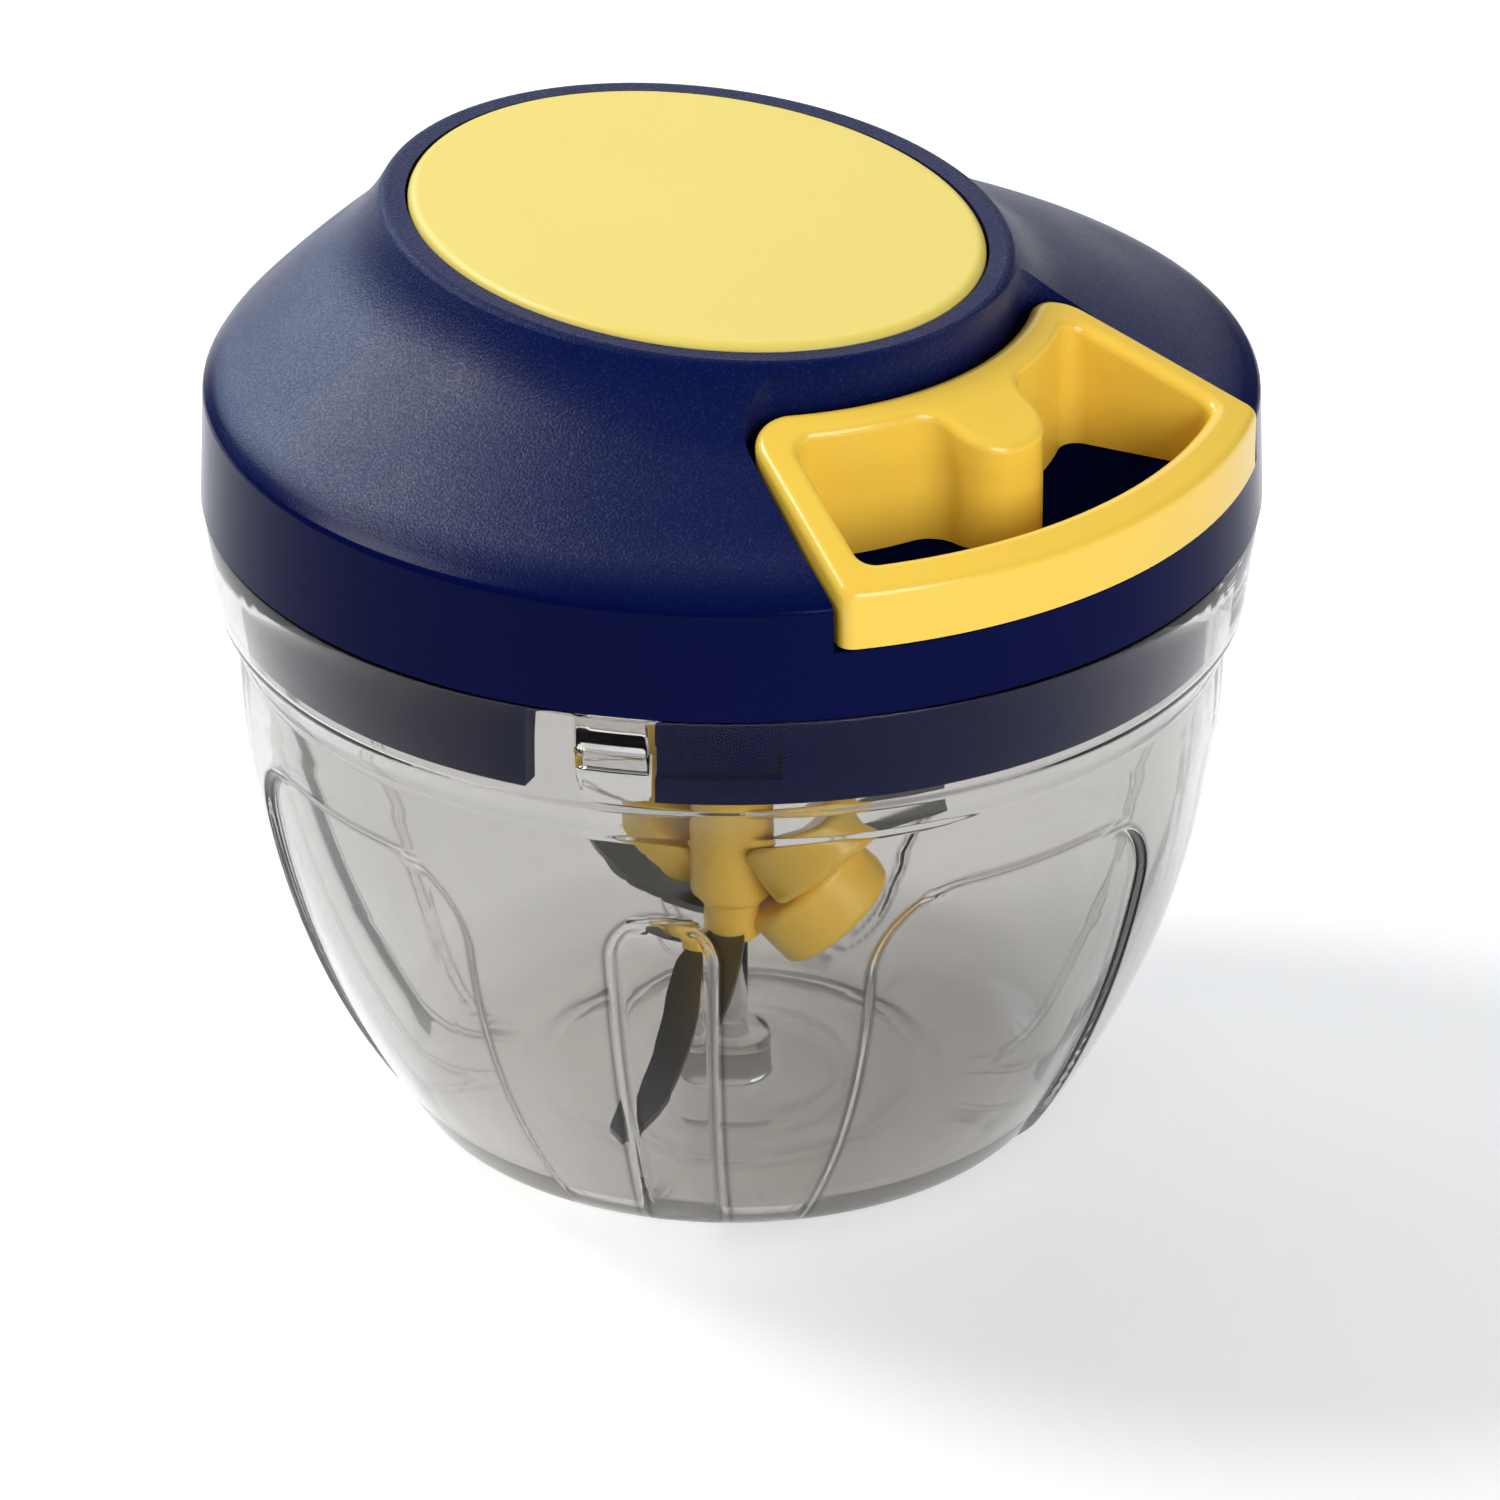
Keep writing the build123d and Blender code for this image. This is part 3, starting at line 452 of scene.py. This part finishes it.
MATTE_NAVY = ((0.0024, 0.0068, 0.056), (0.0036, 0.0090, 0.068))
# Lighter specks in the grain, partly real specks and partly painted sparkle
SPECK_AND_SPARKLE_NAVY = (0.012, 0.018, 0.090)
SPECK_AND_SPARKLE_RANGE = (0.56, 0.70)
BAND_ROUGHNESS = 0.16
DOME_ROUGHNESS = (0.36, 0.44)
SLANT_BLEND = 0.5
SLANT_RANGE = (0.15, 0.8)
SLANT_SHEEN = (0.06, 0.9)
SPARKLE_RANGE = (0.42, 0.66)
SPARKLE_SHEEN = (0.65, 1.35)
SHEEN_RANGE = (0.45, 1.0)


def grained_navy(name, grain_heights):
    """Navy plastic, smooth and glossy below the two heights and finely grained above them."""
    material, tree, shader = new_material(name)
    where = object_coordinates(tree)
    place = separated(tree, where)
    grained = remap(tree, place["Z"], grain_heights, WHOLE)
    grain = noise(tree, where, GRAIN_SCALE, roughness=GRAIN_ROUGHNESS)
    patches = noise(tree, where, PATCH_SCALE, PATCH_DETAIL)

    # Lighter specks in the grain's colour, partly real specks and partly painted sparkle
    specks_and_sparkle = remap(tree, grain, SPECK_AND_SPARKLE_RANGE, WHOLE)
    matte = colour_mix(tree, specks_and_sparkle, colour_mix(tree, patches, *MATTE_NAVY), SPECK_AND_SPARKLE_NAVY)
    glossy = colour_mix(tree, patches, *GLOSSY_NAVY)
    tree.links.new(colour_mix(tree, grained, glossy, matte), shader.inputs["Base Color"])

    rough = node(tree, "ShaderNodeMix", A=BAND_ROUGHNESS)
    tree.links.new(grained, rough.inputs["Factor"])
    tree.links.new(remap(tree, patches, PATCH_RANGE, DOME_ROUGHNESS), rough.inputs["B"])
    tree.links.new(rough.outputs["Result"], shader.inputs["Roughness"])
    strength = remap(tree, grained, WHOLE, GRAIN_STRENGTH)
    tree.links.new(bump(tree, grain, strength, GRAIN_HEIGHT), shader.inputs["Normal"])

    slant = node(tree, "ShaderNodeLayerWeight", Blend=SLANT_BLEND)
    sheen = remap(tree, slant.outputs["Facing"], SLANT_RANGE, SLANT_SHEEN)
    sheen = combined(tree, "MULTIPLY", sheen, remap(tree, grain, SPARKLE_RANGE, SPARKLE_SHEEN))
    sheen = combined(tree, "MULTIPLY", sheen, remap(tree, place["Z"], LIP_HEIGHTS, LIP_SHEEN))
    level = tree.nodes.new("ShaderNodeCombineXYZ")
    for axis in ("X", "Y"):
        tree.links.new(place[axis], level.inputs[axis])
    reach = tree.nodes.new("ShaderNodeVectorMath")
    reach.operation = "LENGTH"
    tree.links.new(level.outputs["Vector"], reach.inputs[0])
    gloss = tree.nodes.new("ShaderNodeMix")
    tree.links.new(remap(tree, grained, SHEEN_RANGE, WHOLE), gloss.inputs["Factor"])
    tree.links.new(remap(tree, reach.outputs["Value"], POCKET_REACHES, POCKET_SHEEN), gloss.inputs["A"])
    tree.links.new(sheen, gloss.inputs["B"])
    tree.links.new(gloss.outputs["Result"], shader.inputs["Specular IOR Level"])
    return material


# Opaque coloured plastics
FLOW_SCALE = 45.0
FLOW_DETAIL = 3.0
SKIN_SCALE = 500.0
SKIN_RANGE = (0.3, 0.7)
SKIN_ROUGHNESS = 0.03
SKIN_HEIGHT = 0.00005
SUBSURFACE_WEIGHT = 0.08
SUBSURFACE_RADIUS = (0.004, 0.002, 0.001)
SUBSURFACE_SCALE = 1.0


def moulded_plastic(name, colour, deep, roughness, ripple):
    """Opaque moulded plastic with faint flow marks and a fine skin."""
    material, tree, shader = new_material(name)
    where = object_coordinates(tree)
    flow = noise(tree, where, FLOW_SCALE, FLOW_DETAIL)
    tree.links.new(colour_mix(tree, flow, colour, deep), shader.inputs["Base Color"])
    skin = noise(tree, where, SKIN_SCALE)
    span = (roughness - SKIN_ROUGHNESS, roughness + SKIN_ROUGHNESS)
    tree.links.new(remap(tree, skin, SKIN_RANGE, span), shader.inputs["Roughness"])
    tree.links.new(bump(tree, skin, ripple, SKIN_HEIGHT), shader.inputs["Normal"])
    shader.inputs["Subsurface Weight"].default_value = SUBSURFACE_WEIGHT
    shader.inputs["Subsurface Radius"].default_value = SUBSURFACE_RADIUS
    shader.inputs["Subsurface Scale"].default_value = SUBSURFACE_SCALE
    return material


# Clear bowl plastic, scuffed near its foot
HAZE_SCALE = 120.0
HAZE_DETAIL = 4.0
HAZE_RANGE = (0.35, 0.75)
HAZE_ROUGHNESS = (0.0, 0.05)
SWELL_SCALE = 55.0
SWELL_DETAIL = 1.0
SWELL_STRENGTH = 0.05
SWELL_HEIGHT = 0.0004
CLEAR_TINT = (0.66, 0.645, 0.625)
# Tint of the painted shade beside the outlines and on the lugs, and the clearness that paints a pale highlight on the
# outlines
PAINTED_SHADE_TINT = (0.09, 0.085, 0.08)
PAINTED_HIGHLIGHT_CLEARNESS = (1.0, 0.65)
SCUFF_HEIGHTS = (0.001, 0.009)
SCUFF_CLEARNESS = (0.80, 1.0)
CLEAR_SPECULAR = 0.06
CLEAR_REFLECTION = (0.12, 0.12, 0.12, 1)
CLEAR_IOR = 1.46
SHADOW_TINT = (0.80, 0.79, 0.78, 1)


def clear_plastic(name):
    """Clear plastic with painted dark and bright outlines and painted shade on its lugs, that lets the lamps light
    what is inside it.
    """
    material, tree, shader = new_material(name)
    where = object_coordinates(tree)
    haze = noise(tree, where, HAZE_SCALE, HAZE_DETAIL)
    tree.links.new(remap(tree, haze, HAZE_RANGE, HAZE_ROUGHNESS), shader.inputs["Roughness"])
    swell = noise(tree, where, SWELL_SCALE, SWELL_DETAIL)
    tree.links.new(bump(tree, swell, SWELL_STRENGTH, SWELL_HEIGHT), shader.inputs["Normal"])
    # Painted shade darkens the tint, and a painted highlight makes the outlines less clear and paler
    painted_light_and_shade = tree.nodes.new("ShaderNodeAttribute")
    painted_light_and_shade.attribute_name = "painted_light_and_shade"
    shade = remap(tree, painted_light_and_shade.outputs["Fac"], (-1.0, 0.0), (1.0, 0.0))
    tree.links.new(colour_mix(tree, shade, CLEAR_TINT, PAINTED_SHADE_TINT), shader.inputs["Base Color"])
    painted_highlight_clearness = remap(tree, painted_light_and_shade.outputs["Fac"], WHOLE, PAINTED_HIGHLIGHT_CLEARNESS)
    scuffed = remap(tree, separated(tree, where)["Z"], SCUFF_HEIGHTS, SCUFF_CLEARNESS)
    tree.links.new(combined(tree, "MINIMUM", painted_highlight_clearness, scuffed), shader.inputs["Transmission Weight"])
    shader.inputs["Specular IOR Level"].default_value = CLEAR_SPECULAR
    shader.inputs["Specular Tint"].default_value = CLEAR_REFLECTION
    shader.inputs["IOR"].default_value = CLEAR_IOR
    path = tree.nodes.new("ShaderNodeLightPath")
    through = node(tree, "ShaderNodeBsdfTransparent", Color=SHADOW_TINT)
    mix = tree.nodes.new("ShaderNodeMixShader")
    tree.links.new(path.outputs["Is Shadow Ray"], mix.inputs[0])
    tree.links.new(shader.outputs["BSDF"], mix.inputs[1])
    tree.links.new(through.outputs["BSDF"], mix.inputs[2])
    tree.links.new(mix.outputs["Shader"], tree.nodes["Material Output"].inputs["Surface"])
    return material


# Brushed steel and braided cord
BRUSH_SCALE = 400.0
BRUSH_DETAIL = 4.0
BRUSH_DARK = 0.8
BRUSH_RANGE = (0.2, 0.8)
BRUSH_SMOOTHER = 0.06
BRUSH_ROUGHER = 0.1
BRUSH_STRENGTH = 0.15
BRUSH_HEIGHT = 0.00003
BRAID_SCALE = 900.0
BRAID_DISTORTION = 2.0
BRAID_COLOURS = ((0.62, 0.61, 0.58), (0.80, 0.79, 0.76))
BRAID_STRENGTH = 0.5
BRAID_HEIGHT = 0.0001
BRAID_ROUGHNESS = 0.8


def brushed_steel(name, colour, roughness, along):
    """Steel with fine brush lines across the given stretch of object space."""
    material, tree, shader = new_material(name)
    stretch = node(tree, "ShaderNodeMapping", Scale=along)
    tree.links.new(object_coordinates(tree), stretch.inputs["Vector"])
    lines = noise(tree, stretch.outputs["Vector"], BRUSH_SCALE, BRUSH_DETAIL)
    dark = tuple(c * BRUSH_DARK for c in colour)
    tree.links.new(colour_mix(tree, lines, dark, colour), shader.inputs["Base Color"])
    span = (roughness - BRUSH_SMOOTHER, roughness + BRUSH_ROUGHER)
    tree.links.new(remap(tree, lines, BRUSH_RANGE, span), shader.inputs["Roughness"])
    tree.links.new(bump(tree, lines, BRUSH_STRENGTH, BRUSH_HEIGHT), shader.inputs["Normal"])
    shader.inputs["Metallic"].default_value = 1.0
    return material


def woven_cord(name):
    """Pale braided cord."""
    material, tree, shader = new_material(name)
    wave = node(tree, "ShaderNodeTexWave", Scale=BRAID_SCALE, Distortion=BRAID_DISTORTION)
    tree.links.new(object_coordinates(tree), wave.inputs["Vector"])
    braid = wave.outputs["Fac"]
    tree.links.new(colour_mix(tree, braid, *BRAID_COLOURS), shader.inputs["Base Color"])
    tree.links.new(bump(tree, braid, BRAID_STRENGTH, BRAID_HEIGHT), shader.inputs["Normal"])
    shader.inputs["Roughness"].default_value = BRAID_ROUGHNESS
    return material


navy = grained_navy("navy_lid", DOME_GRAIN)
smooth_navy = grained_navy("navy_smooth", NO_GRAIN)
clear = clear_plastic("clear_bowl")
cord = woven_cord("braided_cord")

# Materials by the slots of the part's record. A plastic has its colour, its deeper colour, its roughness and the
# strength of its skin, and a steel its colour, its roughness and the stretch of its brush lines.
FINISHES = {
    "navy_plastic": navy,
    "handle_plastic": moulded_plastic("golden_handle", (0.97, 0.655, 0.083), (0.94, 0.61, 0.070), 0.24, 0.03),
    "cap_plastic": moulded_plastic("pale_cap", (0.87, 0.695, 0.148), (0.85, 0.665, 0.138), 0.44, 0.08),
    "holder_plastic": moulded_plastic("golden_holder", (0.92, 0.62, 0.10), (0.86, 0.56, 0.08), 0.30, 0.05),
    "white_plastic": moulded_plastic("white_plastic", (0.78, 0.78, 0.75), (0.72, 0.72, 0.69), 0.35, 0.05),
    "clear_plastic": clear,
    "blade_steel": brushed_steel("blade_steel", (0.13, 0.13, 0.12), 0.34, (1.0, 12.0, 1.0)),
    "fastener_steel": brushed_steel("plated_steel", (0.62, 0.62, 0.63), 0.28, (1.0, 1.0, 8.0)),
    "cord": cord,
}
for part in frame["record"]["subparts"]:
    mesh = nodes[part["node"]].data
    mesh.materials.clear()
    mesh.materials.append(FINISHES[part["material_slot"]])
nodes["lid_base"].data.materials[0] = smooth_navy

bowl = make_bowl()
bowl.data.materials.append(clear)
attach(bowl, "bowl")
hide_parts("bowl")

# Pull cord, a round tube along the solid's route that stretches from the guide bush to the knot
CORD_RADIUS = 0.001
CORD_LEVEL = 0.0960
CORD_GUIDE_END = -0.0336
CORD_KNOT_END = -0.0405
CORD_ROUTE = ((-0.0138, -0.0161), (0.0, -0.0280), (0.0, CORD_GUIDE_END), (0.0, CORD_KNOT_END))
CORD_SIDES = 14
CORD_FINENESS = 80


def route_line():
    """Points of the smooth spline that has the cord's route as its control points."""
    curve = bpy.data.curves.new("cord_route", "CURVE")
    curve.dimensions = "3D"
    curve.resolution_u = CORD_FINENESS
    spline = curve.splines.new("NURBS")
    spline.points.add(len(CORD_ROUTE) - 1)
    for point, (x, y) in zip(spline.points, CORD_ROUTE):
        point.co = (x, y, CORD_LEVEL, 1)
    spline.order_u = 3
    spline.use_endpoint_u = True
    holder = bpy.data.objects.new("cord_route", curve)
    line = bpy.data.meshes.new_from_object(holder)
    points = np.array([vertex.co[:] for vertex in line.vertices])
    bpy.data.objects.remove(holder)
    bpy.data.curves.remove(curve)
    bpy.data.meshes.remove(line)
    return points


def make_cord():
    """A closed tube around the cord's line, which lies level."""
    route = route_line()
    ahead = np.gradient(route, axis=0)
    ahead /= np.linalg.norm(ahead, axis=1)[:, None]
    upward = np.array([0, 0, 1.0])
    aside = np.cross(ahead, upward)
    turns = [2 * math.pi * i / CORD_SIDES for i in range(CORD_SIDES)]
    rings = [route + CORD_RADIUS * (math.cos(a) * aside + math.sin(a) * upward) for a in turns]
    vertices = np.stack(rings, axis=1).reshape(-1, 3)
    faces = []
    for ring in range(len(route) - 1):
        near, far = ring * CORD_SIDES, (ring + 1) * CORD_SIDES
        for side in range(CORD_SIDES):
            after = (side + 1) % CORD_SIDES
            faces.append((near + side, near + after, far + after, far + side))
    faces.append(tuple(reversed(range(CORD_SIDES))))
    faces.append(tuple(range(len(vertices) - CORD_SIDES, len(vertices))))
    return mesh_object("stretching_cord", vertices, faces)


cord_tube = make_cord()
cord_tube.data.materials.append(cord)
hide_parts("pull_cord")
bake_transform(cord_tube)

# Studio: a pale floor that looks the same directly, mirrored and through the bowl, four soft lamps and the camera
FLOOR_HALF = 3.0
FLOOR_DROP = 0.0002
FLOOR_COLOUR = (0.82, 0.82, 0.82, 1)
FLOOR_ROUGHNESS = 0.9
FLOOR_GLOW = (0.0, 0.36)
WHITE = (1, 1, 1)
WORLD_STRENGTH = 0.22
LAMP_TARGET = Vector((0, 0, 0.07))
# Name, place from the target to the photograph's right, towards its camera and up, size, power and colour
LAMPS = (
    ("key", (-0.65, -0.25, 0.85), 0.4, 8.5, WHITE),
    ("rim", (-0.55, -0.80, 0.48), 0.5, 3.0, (0.60, 0.79, 1.0)),
    ("back", (0.0, -1.0, 0.60), 0.8, 1.6, WHITE),
    ("front", (0.60, 1.05, 0.42), 0.7, 10.0, WHITE),
)


def make_floor():
    half = FLOOR_HALF
    floor = mesh_object("floor", [(-half, -half, 0), (half, -half, 0), (half, half, 0), (-half, half, 0)],
                        [(0, 1, 2, 3)])
    material, tree, shader = new_material("pale_floor")
    shader.inputs["Base Color"].default_value = FLOOR_COLOUR
    shader.inputs["Roughness"].default_value = FLOOR_ROUGHNESS
    shader.inputs["Specular IOR Level"].default_value = 0.0
    path = tree.nodes.new("ShaderNodeLightPath").outputs
    shown = combined(tree, "MAXIMUM", path["Is Camera Ray"], path["Is Glossy Ray"])
    shown = combined(tree, "MAXIMUM", shown, path["Is Transmission Ray"])
    shader.inputs["Emission Color"].default_value = (*WHITE, 1)
    tree.links.new(remap(tree, shown, WHOLE, FLOOR_GLOW), shader.inputs["Emission Strength"])
    floor.data.materials.append(material)
    floor.location.z = -FLOOR_DROP


def make_world():
    world = bpy.data.worlds.new("studio")
    bpy.context.scene.world = world
    world.use_nodes = True
    background = world.node_tree.nodes["Background"]
    background.inputs["Color"].default_value = (*WHITE, 1)
    background.inputs["Strength"].default_value = WORLD_STRENGTH


def make_lamp(name, place, size, power, colour):
    lamp = bpy.data.lights.new(name, "AREA")
    lamp.color = colour
    lamp.shape = "DISK"
    lamp.size = size
    lamp.energy = power
    made = bpy.data.objects.new(name, lamp)
    bpy.context.scene.collection.objects.link(made)
    made.location = place
    made.rotation_mode = "QUATERNION"
    made.rotation_quaternion = (LAMP_TARGET - place).to_track_quat("-Z", "Y")


def view_axes():
    """The photograph's directions towards the camera, to the right and up."""
    level = math.cos(CAMERA_ELEVATION)
    back = Vector((math.sin(CAMERA_AZIMUTH) * level, -math.cos(CAMERA_AZIMUTH) * level,
                   math.sin(CAMERA_ELEVATION)))
    right = Vector((math.cos(CAMERA_AZIMUTH), math.sin(CAMERA_AZIMUTH), 0))
    return back, right, back.cross(right)


def make_camera(back, right, up):
    camera_data = bpy.data.cameras.new("camera")
    camera_data.sensor_width = SENSOR_WIDTH
    camera_data.lens = FOCAL_PIXELS / PHOTO_SIZE * SENSOR_WIDTH
    camera_data.clip_end = CAMERA_CLIP_END
    camera = bpy.data.objects.new("camera", camera_data)
    bpy.context.scene.collection.objects.link(camera)
    camera.location = Vector((0, 0, PARTING_HEIGHT)) + back * CAMERA_DISTANCE
    aside = (PHOTO_SIZE / 2 - PARTING_PIXEL[0]) / FOCAL_PIXELS
    above = (PARTING_PIXEL[1] - PHOTO_SIZE / 2) / FOCAL_PIXELS
    look = right * aside + up * above - back
    camera.rotation_mode = "QUATERNION"
    camera.rotation_quaternion = look.to_track_quat("-Z", "Y")
    bpy.context.scene.camera = camera


view_back, view_right, view_up = view_axes()
view_forward = Vector((view_back.x, view_back.y, 0)).normalized()
make_floor()
make_world()
for lamp_name, (aside, ahead, above), size, power, colour in LAMPS:
    lamp_place = LAMP_TARGET + view_right * aside + view_forward * ahead + Vector((0, 0, above))
    make_lamp(lamp_name, lamp_place, size, power, colour)
make_camera(view_back, view_right, view_up)
bpy.context.scene.view_settings.view_transform = "Standard"
